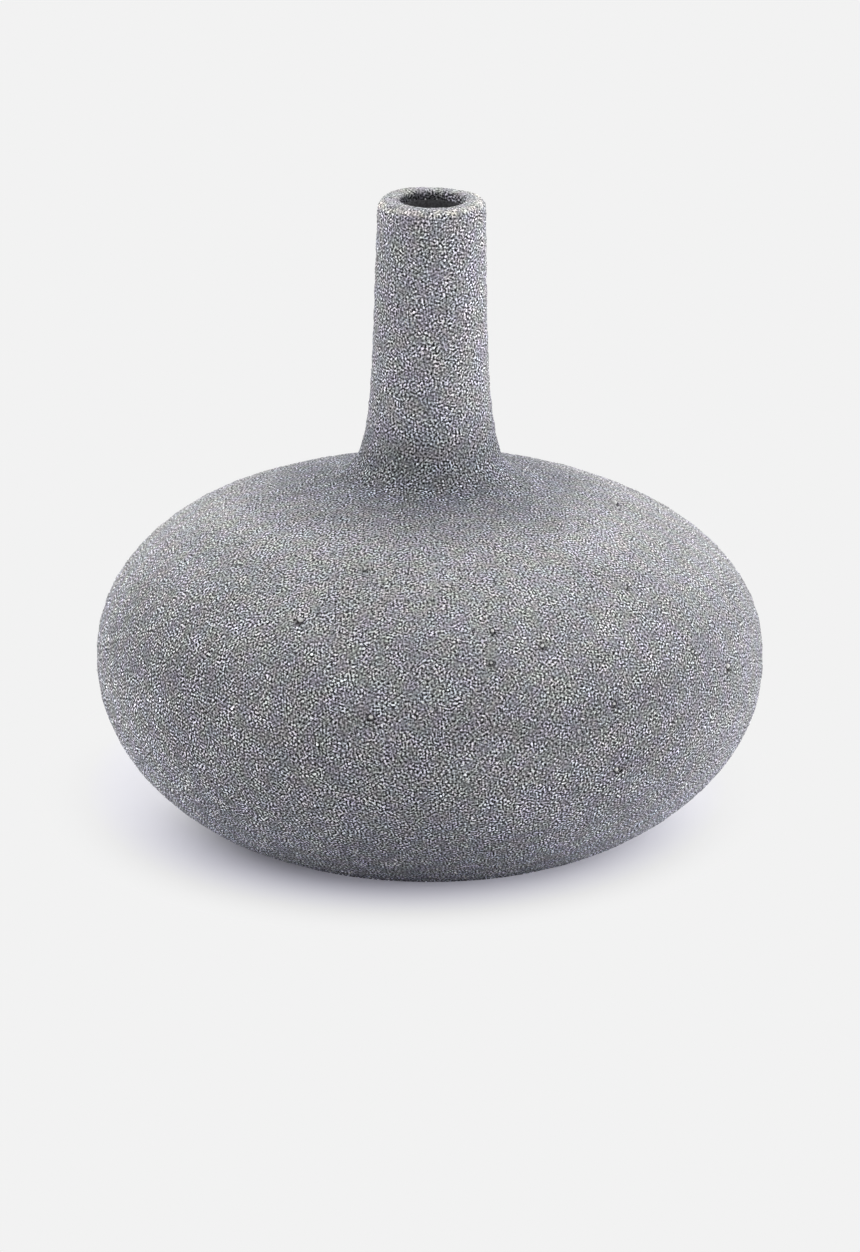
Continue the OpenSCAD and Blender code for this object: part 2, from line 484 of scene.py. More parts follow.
def proudOfClay(tree, place, normal, grainSize, scale, grain):
    # a grain is what stands out from the clay a step away from it, all round on the surface
    step = maths(tree, "MULTIPLY", grainSize, sandLook["compareAt"])
    across = vectorMaths(tree, "NORMALIZE", vectorMaths(tree, "CROSS_PRODUCT", (0, 0, 1), place))
    down = vectorMaths(tree, "CROSS_PRODUCT", normal, across)
    sideStep = vectorMaths(tree, "SCALE", across, scale=step)
    downStep = vectorMaths(tree, "SCALE", down, scale=step)
    count = sandLook["compared"]
    around = 0.0
    for i in range(count):
        a = math.radians(360 / count * i + sandLook["turned"])
        moved = vectorMaths(tree, "ADD", place, vectorMaths(tree, "SCALE", sideStep, scale=math.cos(a)))
        moved = vectorMaths(tree, "ADD", moved, vectorMaths(tree, "SCALE", downStep, scale=math.sin(a)))
        around = maths(tree, "ADD", noise(tree, moved, scale), around)
    return maths(tree, "MULTIPLY_ADD", around, -1 / count, grain)


def addOddGrains(tree, place, scale, litEven, pits, colour):
    # a few pale grains, a few dark ones, and pinholes painted dark as painted shade
    look = sandLook
    cells = addNode(tree, "ShaderNodeTexVoronoi")
    feed(tree, cells, Vector=place, Scale=maths(tree, "MULTIPLY", scale, look["cellScale"]))
    cellShade = addNode(tree, "ShaderNodeSeparateColor")
    feed(tree, cellShade, Color=cells.outputs["Color"])
    core = spread(tree, cells.outputs["Distance"], *look["cellCore"], 1.0, 0.0)
    pale = maths(tree, "MULTIPLY", spread(tree, cellShade.outputs["Blue"], *look["paleCells"]), core)
    pale = maths(tree, "MULTIPLY", pale, maths(tree, "SUBTRACT", 1.0, litEven))
    dark = maths(tree, "MULTIPLY", spread(tree, cellShade.outputs["Green"], *look["darkCells"]), core)
    colour = blendColours(tree, "MIX", pale, colour, look["pale"])
    colour = blendColours(tree, "MIX", dark, colour, look["dark"])
    # pinholes painted dark as painted shade
    hollow = noise(tree, place, maths(tree, "MULTIPLY", scale, look["hollowScale"]), 1.0)
    hollow = maths(tree, "MULTIPLY", spread(tree, hollow, *look["hollows"]), pits)
    return blendColours(tree, "MIX", hollow, colour, look["hollow"])


def sandGroup():
    # fine sand pressed into clay: light grains, dark hollows between them whose darkness is partly painted
    # shade, a few pale or dark grains
    tree, given, made = newGroup("sandGrain", [
        ("Grain Size", "NodeSocketFloat", 0.0004),
        ("Ground", "NodeSocketColor", (0.36, 0.36, 0.385, 1)),
        ("Contrast", "NodeSocketFloat", 1.0),
        ("Evenness", "NodeSocketFloat", 0.0),
        ("Pits", "NodeSocketFloat", 0.3),
    ], [("Color", "NodeSocketColor"), ("Height", "NodeSocketFloat")])
    coordinates = addNode(tree, "ShaderNodeTexCoord").outputs
    place = coordinates["Object"]
    litEven = given["Evenness"]
    look = sandLook
    scale = maths(tree, "DIVIDE", 1.0, given["Grain Size"])
    grain = noise(tree, place, scale)
    proud = proudOfClay(tree, place, coordinates["Normal"], given["Grain Size"], scale, grain)
    # some patches are sandier than others, and where the light is painted in the grains stand out less
    sandier = patchy(tree, place, look["sandier"], look["sandierBy"])
    power = spread(tree, litEven, 0.0, 1.0, look["roughPower"], look["litEvenPower"], "LINEAR")
    depth = maths(tree, "DIVIDE", maths(tree, "MULTIPLY", given["Contrast"], look["roughPower"]), power)
    swing = maths(tree, "MULTIPLY_ADD", proud, maths(tree, "MULTIPLY", depth, sandier), 1.0)
    # the hollows between grains are darkened, partly as painted shade
    shadeOfGrain = maths(tree, "POWER", maths(tree, "MAXIMUM", swing, look["darkest"]), power)
    # the wiping left faint level bands
    banded = vectorMaths(tree, "MULTIPLY", place, look["bandStretch"])
    mottle = patchy(tree, banded, look["bands"], look["bandShade"])
    factor = maths(tree, "MULTIPLY", shadeOfGrain, mottle)
    # painted light: the clay is lifted paler where the light is painted in
    factor = maths(tree, "MULTIPLY", factor, spread(tree, litEven, 0.0, 1.0, 1.0, look["paintedLightLift"], "LINEAR"))
    pinkness = softPatches(tree, place, look["pinkness"])
    blueness = softPatches(tree, place, look["blueness"])
    pinkOrGreen = blendColours(tree, "MIX", pinkness, look["pink"], look["green"])
    blueOrYellow = blendColours(tree, "MIX", blueness, look["blue"], look["yellow"])
    ground = blendColours(tree, "MULTIPLY", 1.0, given["Ground"], pinkOrGreen)
    ground = blendColours(tree, "MULTIPLY", 1.0, ground, blueOrYellow)
    colour = vectorMaths(tree, "SCALE", ground, scale=factor)
    colour = addOddGrains(tree, place, scale, litEven, given["Pits"], colour)
    feed(tree, made[0].node, Color=colour, Height=grain)
    return tree


sandGrain = sandGroup()
clay = {
    "grainSize": 0.00042,
    "ground": (0.290, 0.289, 0.314, 1),
    # painted light: the shoulder, which faces the light from above, is paler
    "paintedLitShoulderGround": (0.388, 0.387, 0.405, 1),
    "neckGround": (0.326, 0.324, 0.353, 1),
    "shoulderFrom": (0.005, 0.036),     # above the belly, where the painted light on the shoulder begins and where it is full
    "neckFrom": (0.004, 0.016),         # above the crown
    # painted shade in the corner where the neck meets the shoulder
    "paintedRootShade": (0.51, 0.525, 0.56, 1),
    "corner": (0.003, -0.001, 1.8),     # at the neck: outwards, up, and how much heights count
    "paintedRootShadeFades": (0.006, 0.038),        # from that corner
    # painted shade: the underside darker and bluer, full at the foot and gone at the belly
    "paintedUnderShade": (0.94, 0.95, 1.01, 1),
    "toneAndPaintedLightPatches": [             # spots painted darker or paler, partly the clay's own tone and partly painted light and shade: where, how far they fade, how much
        ((0.050, -0.060, 0.040), 0.042, 0.78), ((0.030, -0.010, 0.088), 0.020, 1.15),
        ((-0.060, -0.044, 0.062), 0.036, 0.85), ((0.062, -0.028, 0.071), 0.026, 0.92),
        ((-0.056, -0.056, 0.036), 0.036, 0.90), ((-0.070, -0.023, 0.066), 0.026, 0.92),
    ],
    "contrast": 2.2,
    "shoulderContrast": 0.85,
    "underContrast": 1.5,               # at the foot, easing off up to just above the belly
    "underEase": 0.005,
    "rootContrast": 1.4,
    "rootContrastFades": (0.004, 0.020),
    "leftContrast": 1.4,
    "leftFrom": (-0.075, 0.0),
    "litEvenFrom": (0.062, 0.080),        # heights between which the painted light on the shoulder begins
    "litEvenFromRoot": (0.010, 0.026),
    # across the right side, where the painted light also evens the grain
    "litEvenRight": (0.048, 0.078, 0.0, 0.7),
    "evenness": (0.15, 1.0),            # in most places, and where the light is painted in
    "pits": (0.3, 1.0),
    "relief": 0.0004,
    "roughness": 0.85,
    "specular": 0.25,
    # painted shadow in the pit round each coarse grain
    "paintedPitShadow": 0.14,
}


def distanceTo(tree, outward, z, r, height, stretch=1.0):
    # from a ring of radius r at a height, with heights stretched
    across = maths(tree, "SUBTRACT", outward, r)
    up = maths(tree, "MULTIPLY", maths(tree, "SUBTRACT", z, height), stretch)
    squares = maths(tree, "ADD", maths(tree, "MULTIPLY", across, across), maths(tree, "MULTIPLY", up, up))
    return maths(tree, "SQRT", squares)


def clayTone(tree, place, z, corner, onShoulder, onNeck):
    # the shoulder is painted paler as painted light, the underside darker and bluer as painted shade, and
    # the corner at the neck darker as painted shade
    white = (1, 1, 1, 1)
    ground = blendColours(tree, "MIX", onShoulder, clay["ground"], clay["paintedLitShoulderGround"])
    ground = blendColours(tree, "MIX", onNeck, ground, clay["neckGround"])
    # painted shade, darkest in the corner at the neck and fading out from it
    paintedRootShadeMix = blendColours(tree, "MIX", spread(tree, corner, *clay["paintedRootShadeFades"]), clay["paintedRootShade"], white)
    ground = blendColours(tree, "MULTIPLY", 1.0, ground, paintedRootShadeMix)
    # painted shade under the belly
    paintedBlueShade = blendColours(tree, "MIX", spread(tree, z, 0.0, equatorZ), clay["paintedUnderShade"], white)
    ground = blendColours(tree, "MULTIPLY", 1.0, ground, paintedBlueShade)
    # spots painted darker or paler: partly the clay's tone, partly painted light and shade
    for centre, width, shade in clay["toneAndPaintedLightPatches"]:
        away = addNode(tree, "ShaderNodeVectorMath", operation="LENGTH")
        feed(tree, away, i0=vectorMaths(tree, "SUBTRACT", place, centre))
        shading = spread(tree, away.outputs["Value"], 0.0, width, shade, 1.0)
        ground = vectorMaths(tree, "SCALE", ground, scale=shading)
    return ground


def clayContrast(tree, x, z, corner, onShoulder, onNeck):
    # the grains and the painted shade of their hollows stand out least on the shoulder, where most light
    # falls, and most below, at the root of the neck and at the left, where less light falls
    smooth = maths(tree, "SUBTRACT", onShoulder, onNeck)
    rough = clay["contrast"]
    smoothed = spread(tree, smooth, 0.0, 1.0, rough, rough * clay["shoulderContrast"], "LINEAR")
    below = spread(tree, z, 0.0, equatorZ + clay["underEase"], clay["underContrast"], 1.0, "LINEAR")
    contrast = maths(tree, "MULTIPLY", below, smoothed)
    nearRoot = spread(tree, corner, *clay["rootContrastFades"], clay["rootContrast"], 1.0)
    contrast = maths(tree, "MULTIPLY", contrast, nearRoot)
    leftward = spread(tree, x, *clay["leftFrom"], clay["leftContrast"], 1.0, "LINEAR")
    return maths(tree, "MULTIPLY", contrast, leftward)


def litEvenClay(tree, x, z, corner, onNeck):
    # the upper shoulder and the right side, where light falls brightest, get evener, paler grain as painted
    # light, and the neck and its root do not
    high = spread(tree, z, *clay["litEvenFrom"])
    litEven = maths(tree, "MULTIPLY", high, spread(tree, corner, *clay["litEvenFromRoot"]))
    litEven = maths(tree, "MULTIPLY", litEven, maths(tree, "SUBTRACT", 1.0, onNeck))
    return maths(tree, "MAXIMUM", litEven, spread(tree, x, *clay["litEvenRight"]))


lip = {
    # paler top and edge of the lip: partly wear, partly painted highlight
    "wornAndLitEdge": (0.74, 0.72, 0.66, 1),
    "wornAndLitTop": (0.46, 0.46, 0.47, 1),
    # darker down the mouth, below an uneven line
    "mouthDarkening": (0.085, 0.085, 0.094, 1),
    "wear": (420.0, 2.0),
    "wearFrom": (0.3, 0.55),
    "topFrom": (0.0012, 0.0004),        # below the lip's top
    "edgeAt": (0.3, 0.35),              # inwards and down, of the lip's roundness
    "edgeFades": (0.0004, 0.0018),
    "contrast": 0.6,
    "darkFrom": 0.0004,                # below the lip's top
    "darkLineSlope": 0.07,
    "darkLineWaves": (260.0, 1.0),
    "darkLineWaveHeight": 0.0018,
    "darkLineFades": (-0.0009, 0.0007),
    "mouthFades": (0.0003, 0.0008),     # outwards from the bore
}


def lipTone(tree, place, x, z, outward, ground, contrast):
    # the top and its edge are painted paler, partly as wear and partly as painted light, and the mouth is
    # darkened below an uneven line
    top = spread(tree, z, neckHigh.z - lip["topFrom"][0], neckHigh.z - lip["topFrom"][1])
    # the lip's top paler, partly worn and partly painted light
    ground = blendColours(tree, "MIX", top, ground, lip["wornAndLitTop"])
    inwards, down = lip["edgeAt"]
    edgeR = vase["lipR"] - vase["lipRound"] * inwards
    edge = distanceTo(tree, outward, z, edgeR, neckHigh.z - vase["lipRound"] * down)
    worn = spread(tree, noise(tree, place, *lip["wear"]), *lip["wearFrom"])
    edge = maths(tree, "MULTIPLY", spread(tree, edge, *lip["edgeFades"], 1.0, 0.0), worn)
    # the lip's edge paler, partly worn and partly painted highlight
    ground = blendColours(tree, "MIX", edge, ground, lip["wornAndLitEdge"])
    # the mouth darkened below an uneven line
    depth = maths(tree, "SUBTRACT", neckHigh.z - lip["darkFrom"], z)
    waves = maths(tree, "MULTIPLY", noise(tree, place, *lip["darkLineWaves"]), lip["darkLineWaveHeight"])
    line = maths(tree, "MULTIPLY_ADD", x, lip["darkLineSlope"], waves)
    darkBelowLine = spread(tree, maths(tree, "SUBTRACT", depth, line), *lip["darkLineFades"])
    near, far = lip["mouthFades"]
    inMouth = spread(tree, outward, vase["boreR"] + near, vase["boreR"] + far, 1.0, 0.0)
    ground = blendColours(tree, "MIX", maths(tree, "MULTIPLY", darkBelowLine, inMouth), ground, lip["mouthDarkening"])
    smoothed = spread(tree, maths(tree, "MAXIMUM", top, edge), 0, 1, 1.0, lip["contrast"])
    return ground, maths(tree, "MULTIPLY", contrast, smoothed)


def clayMaterial(name, neckFinish=False):
    material = bpy.data.materials.new(name)
    material.use_nodes = True
    tree = material.node_tree
    shader = tree.nodes["Principled BSDF"]
    place = addNode(tree, "ShaderNodeTexCoord").outputs["Object"]
    parts = addNode(tree, "ShaderNodeSeparateXYZ")
    feed(tree, parts, Vector=place)
    x, y, z = (parts.outputs[i] for i in range(3))
    squares = maths(tree, "ADD", maths(tree, "MULTIPLY", x, x), maths(tree, "MULTIPLY", y, y))
    outward = maths(tree, "SQRT", squares)
    cornerOut, cornerUp, cornerStretch = clay["corner"]
    corner = distanceTo(tree, outward, z, vase["neckR"] + cornerOut, crownZ + cornerUp, cornerStretch)
    onShoulder = spread(tree, z, *(equatorZ + up for up in clay["shoulderFrom"]))
    onNeck = spread(tree, z, *(crownZ + up for up in clay["neckFrom"]))
    ground = clayTone(tree, place, z, corner, onShoulder, onNeck)
    contrast = clayContrast(tree, x, z, corner, onShoulder, onNeck)
    litEven = litEvenClay(tree, x, z, corner, onNeck)
    evenness = spread(tree, litEven, 0.0, 1.0, *clay["evenness"], "LINEAR")
    pits = spread(tree, litEven, 0.0, 1.0, *clay["pits"], "LINEAR")
    if neckFinish:
        ground, contrast = lipTone(tree, place, x, z, outward, ground, contrast)
    sand = addNode(tree, "ShaderNodeGroup", node_tree=sandGrain)
    feed(tree, sand, Grain_Size=clay["grainSize"], Ground=ground, Contrast=contrast)
    feed(tree, sand, Evenness=evenness, Pits=pits)
    # painted shadow of each coarse grain, darkening the clay in its pit
    pit = addNode(tree, "ShaderNodeAttribute", attribute_name="pit").outputs["Fac"]
    paintedPitShadow = (clay["paintedPitShadow"],) * 3 + (1,)
    colour = blendColours(tree, "MULTIPLY", pit, sand.outputs["Color"], paintedPitShadow)
    bump = addNode(tree, "ShaderNodeBump")
    feed(tree, bump, Height=sand.outputs["Height"], Distance=clay["relief"], Strength=1.0)
    feed(tree, shader, Base_Color=colour, Roughness=clay["roughness"], Specular_IOR_Level=clay["specular"])
    feed(tree, shader, Normal=bump.outputs["Normal"])
    return material


sandyClay = clayMaterial("sandyClay")
lipClay = clayMaterial("neckClay", neckFinish=True)


glazeLook = {
    "thin": (0.075, 0.075, 0.082, 1),
    "pooled": (0.12, 0.118, 0.126, 1),
    "pools": (70.0, 3.0),
    "flecks": (1700.0, 1.0),
    "fleckFades": (0.35, 0.65, 0.7, 1.4),
    "ripples": (260.0, 1.0),
    "rippleHeight": 0.0004,
    "rippleStrength": 0.6,
    "roughness": (0.35, 0.55),
}


def glazeMaterial():
    look = glazeLook
    material = bpy.data.materials.new("darkLinerGlaze")
    material.use_nodes = True
    tree = material.node_tree
    place = addNode(tree, "ShaderNodeTexCoord").outputs["Object"]
    pool = noise(tree, place, *look["pools"])
    colour = blendColours(tree, "MIX", pool, look["thin"], look["pooled"])
    fleck = spread(tree, noise(tree, place, *look["flecks"]), *look["fleckFades"], "LINEAR")
    colour = vectorMaths(tree, "SCALE", colour, scale=fleck)
    bump = addNode(tree, "ShaderNodeBump")
    feed(tree, bump, Height=noise(tree, place, *look["ripples"]), Distance=look["rippleHeight"])
    feed(tree, bump, Strength=look["rippleStrength"])
    shader = tree.nodes["Principled BSDF"]
    feed(tree, shader, Base_Color=colour, Normal=bump.outputs["Normal"])
    feed(tree, shader, Roughness=spread(tree, pool, *noiseRange, *look["roughness"]))
    return material


grainLook = {
    "greyer": (0.88, 0.88, 0.88, 1),
    "whiter": (0.97, 0.96, 0.95, 1),
    "tones": (380.0, 0.0),
    "toneFades": (0.40, 0.60),
    "fleck": (0.5, 0.48, 0.46, 1),
    "flecks": (3200.0, 2.0),
    "fleckFades": (0.45, 0.25, 0.0, 0.5),
    "relief": 0.0002,
    "reliefStrength": 0.7,
    "roughness": 0.6,
}


def grainMaterial():
    look = grainLook
    material = bpy.data.materials.new("grogGrain")
    material.use_nodes = True
    tree = material.node_tree
    place = addNode(tree, "ShaderNodeTexCoord").outputs["Object"]
    tone = spread(tree, noise(tree, place, *look["tones"]), *look["toneFades"])
    tint = blendColours(tree, "MIX", tone, look["greyer"], look["whiter"])
    fleck = noise(tree, place, *look["flecks"])
    flecked = spread(tree, fleck, *look["fleckFades"])
    colour = blendColours(tree, "MULTIPLY", flecked, tint, look["fleck"])
    bump = addNode(tree, "ShaderNodeBump")
    feed(tree, bump, Height=fleck, Distance=look["relief"], Strength=look["reliefStrength"])
    shader = tree.nodes["Principled BSDF"]
    feed(tree, shader, Base_Color=colour, Roughness=look["roughness"], Normal=bump.outputs["Normal"])
    return material


linerGlazeFinish = glazeMaterial()
grogFinish = grainMaterial()
print("materials ready")

# the clay pieces
throwing = [                 # texture kind, size, height, the shade that stays level, other settings
    ("CLOUDS", 0.034, 0.0005, 0.8, {"noise_depth": 1}),
    ("CLOUDS", 0.0045, 0.0003, 0.5, {"noise_depth": 2}),
    ("VORONOI", 0.0012, -0.00022, 0.5, {}),
]
turning = {
    "steps": 640,            # round the body
    "rowGap": 0.00062,
    "liningGap": 0.004,
    "inset": 0.0006,         # how far inside a joint face starts from the skin's rim
    "neckSteps": 320,
    "neckRowGap": 0.0004,
    "boreFrom": 0.003,       # how far below the skin's last row the bore's lining starts
    "boreRowGap": 0.006,
    "rimGap": 0.0001,
    "flatBelow": 0.00005,
}
ridges = {
    "height": 0.00007,
    "spacing": 0.0062,
    "slope": 0.8,            # how much the radius counts beside the height, over the flat shoulder
    "drift": 1.7,
    "driftRate": 0.37,
}
inset = turning["inset"]

# coarse grains: degrees round from the front, share of the body's height, share of the largest radius
grog = {
    "largestR": 0.001,
    "sink": 0.35,            # of its radius
    "pitBelow": 0.4,         # of the grain's radius: how far below the grain the pit and its painted shadow are centred
    "pitReach": 0.0006,
    "pitCore": 1.2,
    "pitDepth": 0.00035,
    "standOut": 0.0002,
    "coarseSize": 0.82,      # of the place's radius, so that the pit and its painted shadow show round the grain
    "coarseJitter": 0.04,
    "sandJitter": 0.22,
    "squash": (1.0, 0.8, 0.9),
    "lumps": [("CLOUDS", 0.9, 0.5, 0.5, {"noise_depth": 2})],
    "sharpEdge": 35,         # degrees
    "places": [
        (-26, 0.77, 0.85), (-10, 0.56, 0.7), (21, 0.72, 0.55), (34, 0.38, 0.7), (63, 0.57, 0.9),
        (-76, 0.57, 0.6), (12, 0.76, 0.6), (11, 0.69, 0.4), (122, 0.71, 0.8), (163, 0.46, 0.65),
        (-152, 0.8, 0.6), (-118, 0.41, 0.75),
    ],
    "specks": [              # further small ones, of the finish only
        (84, 0.93, 0.9), (45, 0.81, 0.4), (33, 0.56, 0.5), (53, 0.64, 0.4), (-16, 0.88, 0.45),
    ],
    "sandCount": 900,
    "sandAbove": 0.001,      # no sand on the standing edge
    "sandR": (0.00017, 0.00034),
    "seed": 11,
}
seats = []


def grainSpot(place):
    angle, share, size = place
    r = size * grog["largestR"]
    z = share * crownZ
    out = bodyRAt(z) - grog["sink"] * r
    a = math.radians(angle)
    return Vector((out * math.sin(a), -out * math.cos(a), z)), r


def ridge(r, z):
    along = (z - ridges["slope"] * r) / ridges["spacing"]
    drift = ridges["drift"] * math.sin(along * ridges["driftRate"])
    return ridges["height"] * math.sin(2 * math.pi * along + drift)


def throwRidges(outline):
    made = []
    for i, (r, z) in enumerate(outline):
        a = outline[max(0, i - 1)]
        b = outline[min(len(outline) - 1, i + 1)]
        length = math.dist(a, b)
        push = ridge(r, z)
        made.append((r + push * abs(b[1] - a[1]) / length, z + push * abs(b[0] - a[0]) / length))
    return made


def dentAroundGrains(skin):
    # a shallow pit round each coarse grain, kept as an attribute that also darkens the clay round and below
    # the grain as painted shadow
    spots = points(skin)
    weight = np.zeros(len(spots))
    for place in grog["places"] + grog["specks"]:
        centre, r = grainSpot(place)
        middle = np.array(centre) - np.array((0, 0, grog["pitBelow"] * r))
        away = np.linalg.norm(spots - middle, axis=1)
        weight = np.maximum(weight, np.clip(grog["pitCore"] - (away - r) / grog["pitReach"], 0, 1))
    attribute = skin.data.attributes.new("pit", "FLOAT", "POINT")
    attribute.data.foreach_set("value", weight)
    if weight.max() == 0:
        return
    group = skin.vertex_groups.new(name="pit")
    for i in np.nonzero(weight)[0]:
        group.add([int(i)], float(weight[i]), "REPLACE")
    pick(skin)
    bpy.ops.object.modifier_add(type="DISPLACE")
    push = skin.modifiers[-1]
    push.vertex_group = "pit"
    push.strength = -grog["pitDepth"]
    push.mid_level = 0
    bpy.ops.object.modifier_apply(modifier=push.name)


def makeSkin(name, outline, steps):
    skin = turnSheet(name, outline, steps)
    pushOut(skin, throwing)
    dentAroundGrains(skin)
    spots = points(skin)
    seats.append(spots[spots[:, 2] > grog["sandAbove"]])
    return skin


def flattenEdge(skin):
    # the standing edge is wiped flat
    pick(skin)
    bpy.ops.object.mode_set(mode="EDIT")
    bpy.ops.mesh.select_mode(type="VERT")
    bpy.ops.mesh.select_all(action="DESELECT")
    bpy.ops.object.mode_set(mode="OBJECT")
    for vertex in skin.data.vertices:
        vertex.select = vertex.co.z < turning["flatBelow"]
    bpy.ops.object.mode_set(mode="EDIT")
    bpy.ops.transform.resize(value=(1, 1, 0), center_override=(0, 0, 0))
    bpy.ops.object.mode_set(mode="OBJECT")


def makeFootRing():
    ringR = bodyRAt(footSlipLow.z)
    inner = footR - vase["footWidth"]
    low = vase["footRound"]
    outline = arc((footR - low / 2, low / 2), low / 2, 270, 315, 4)
    outline += bowlOutline(bodyRAt(low), ringR, turning["rowGap"])
    skin = makeSkin("footRing", throwRidges(outline), turning["steps"])
    flattenEdge(skin)
    back = [(ringR - inset, footSlipLow.z), (ringR - inset, ringHigh.z), (inner, ringHigh.z)]
    back += arc((inner + low, low), low, 180, 270, 8)
    back.append((footR - low / 2 - turning["rimGap"], 0))
    lining = turnSheet("ringLining", back, turning["steps"])
    piece = joinSheets(skin, lining)
    bridgeWhere(piece, lambda r, z: z > footSlipLow.z / 2)
    bridgeWhere(piece, lambda r, z: z < footSlipLow.z / 2)
    finishPiece(piece, "foot_ring", sandyClay)


def makeFootSlip():
    ringR = bodyRAt(footSlipLow.z)
    outline = bowlOutline(ringR, footSlipHigh.x, slip)
    skin = makeSkin("footSlip", throwRidges(outline), turning["steps"])
    inner = footR - vase["footWidth"]
    lining = turnSheet("footSlipLining", [
        (footSlipHigh.x, outline[-1][1] + slip / 2), (footSlipHigh.x, footSlipHigh.z),
        (inner, footSlipHigh.z),
        (inner, ringHigh.z), (ringR, ringHigh.z), (ringR, footSlipLow.z + slip / 2)
    ], turning["steps"])
    piece = joinSheets(skin, lining)
    bridgeWhere(piece, lambda r, z: r > (ringR + footSlipHigh.x) / 2)
    bridgeWhere(piece, lambda r, z: r <= (ringR + footSlipHigh.x) / 2)
    finishPiece(piece, "foot_slip_joint", sandyClay)


def makeLowerBowl():
    socketR = footSlipHigh.x
    outline = bowlOutline(socketR, bodyR, turning["rowGap"])
    skin = makeSkin("lowerBowl", throwRidges(outline), turning["steps"])
    lapR = inR + vase["lapWall"]
    inside = innerBowl(inR, floorEdgeR(floorZ, 0), 0, turning["liningGap"])
    lining = turnSheet("bowlLining", [
        (bodyR - inset, equatorZ), (lapR, equatorZ), (lapR, bowlHigh.z), (inR, bowlHigh.z)
    ] + inside + [(inR / 3, floorZ), (0, floorZ)], turning["steps"])
    underside = [(socketR * share, footSlipHigh.z) for share in (0, 0.4, 0.7, 1)]
    underside = turnSheet("bowlUnderside", underside + [(socketR, outline[0][1] + inset)], turning["steps"])
    piece = joinSheets(skin, lining, underside)
    bridgeWhere(piece, lambda r, z: z > equatorZ / 2)
    bridgeWhere(piece, lambda r, z: z < equatorZ / 2)
    finishPiece(piece, "lower_bowl", sandyClay)


def makeBellySlip():
    topZ = equatorZ + slip
    topR = bodyRAt(topZ)
    skin = makeSkin("bellySlip", throwRidges([(bodyR, equatorZ), (topR, topZ)]), turning["steps"])
    lapR = inR + vase["lapWall"]
    inside = [(inR, bellySlipHigh.z), (inR, bowlHigh.z)]
    lining = turnSheet("bellySlipLining", [
        (topR - inset, topZ), (lapR + slip, topZ), (lapR + slip, bellySlipHigh.z)
    ] + inside + [(lapR, bowlHigh.z), (lapR, equatorZ), (bodyR - inset, equatorZ)], turning["steps"])
    piece = joinSheets(skin, lining)
    bridgeWhere(piece, lambda r, z: z > equatorZ + slip / 2)
    bridgeWhere(piece, lambda r, z: z < equatorZ + slip / 2)
    finishPiece(piece, "belly_slip_joint", sandyClay)


def makeUpperBowl():
    topZ = equatorZ + slip
    rebateR = neckSlipHigh.x
    outline = domeOutline(bodyRAt(topZ), rebateR, turning["rowGap"])
    skin = makeSkin("upperBowl", throwRidges(outline), turning["steps"])
    skirtR = inR + vase["lapWall"] + slip
    inside = [p for p in innerDome(throatR, inR, 0, turning["liningGap"]) if p[1] > bellySlipHigh.z]
    lining = turnSheet("domeLining", [
        (rebateR, outline[-1][1] - inset), (rebateR, seatZ), (throatR, seatZ)
    ] + inside + [(inR, bellySlipHigh.z), (skirtR, bellySlipHigh.z), (skirtR, topZ),
                  (bodyRAt(topZ) - inset, topZ)], turning["steps"])
    piece = joinSheets(skin, lining)
    bridgeWhere(piece, lambda r, z: r > bodyR * 0.9)
    bridgeWhere(piece, lambda r, z: r < bodyR * 0.5)
    finishPiece(piece, "upper_bowl", sandyClay)


def makeNeckSlip():
    rebateR = neckSlipHigh.x
    skin = makeSkin("neckSlip", throwRidges([(rebateR, domeZ(rebateR)), (rootR, domeZ(rootR))]),
                    turning["steps"])
    lining = turnSheet("neckSlipLining", [
        (rootR, domeZ(rootR) - inset), (rootR, seatZ + slip), (vase["spigotR"], seatZ + slip),
        (vase["spigotR"], neckLow.z), (throatR, neckLow.z), (throatR, seatZ), (rebateR, seatZ),
        (rebateR, domeZ(rebateR) - inset)
    ], turning["steps"])
    piece = joinSheets(skin, lining)
    bridgeWhere(piece, lambda r, z: r > (rebateR + rootR) / 2)
    bridgeWhere(piece, lambda r, z: r < (rebateR + rootR) / 2)
    finishPiece(piece, "neck_slip_joint", sandyClay)


def makeNeck():
    outline = neckOutline(turning["neckRowGap"])
    skin = makeSkin("neckTube", throwRidges(outline), turning["neckSteps"])
    boreTop = (vase["boreR"], outline[-1][1] - turning["boreFrom"])
    bore = evenSteps([boreTop, (vase["boreR"], neckLow.z)], turning["boreRowGap"])
    lining = turnSheet("neckLining", bore + [
        (vase["spigotR"], neckLow.z),
        (vase["spigotR"], seatZ + slip), (rootR, seatZ + slip), (rootR, domeZ(rootR) - inset)
    ], turning["neckSteps"])
    piece = joinSheets(skin, lining)
    bridgeWhere(piece, lambda r, z: r > rootR * 0.9)
    bridgeWhere(piece, lambda r, z: r < rootR * 0.5)
    finishPiece(piece, "neck", lipClay)


glaze = {
    "steps": 256,
    "rowGap": 0.002,
    "waves": [("CLOUDS", 0.012, 0.0001, 0.5, {"noise_depth": 1})],
}


def floorPoints(z):
    return [(inR * share, z) for share in (0.4, 0.2, 0)]


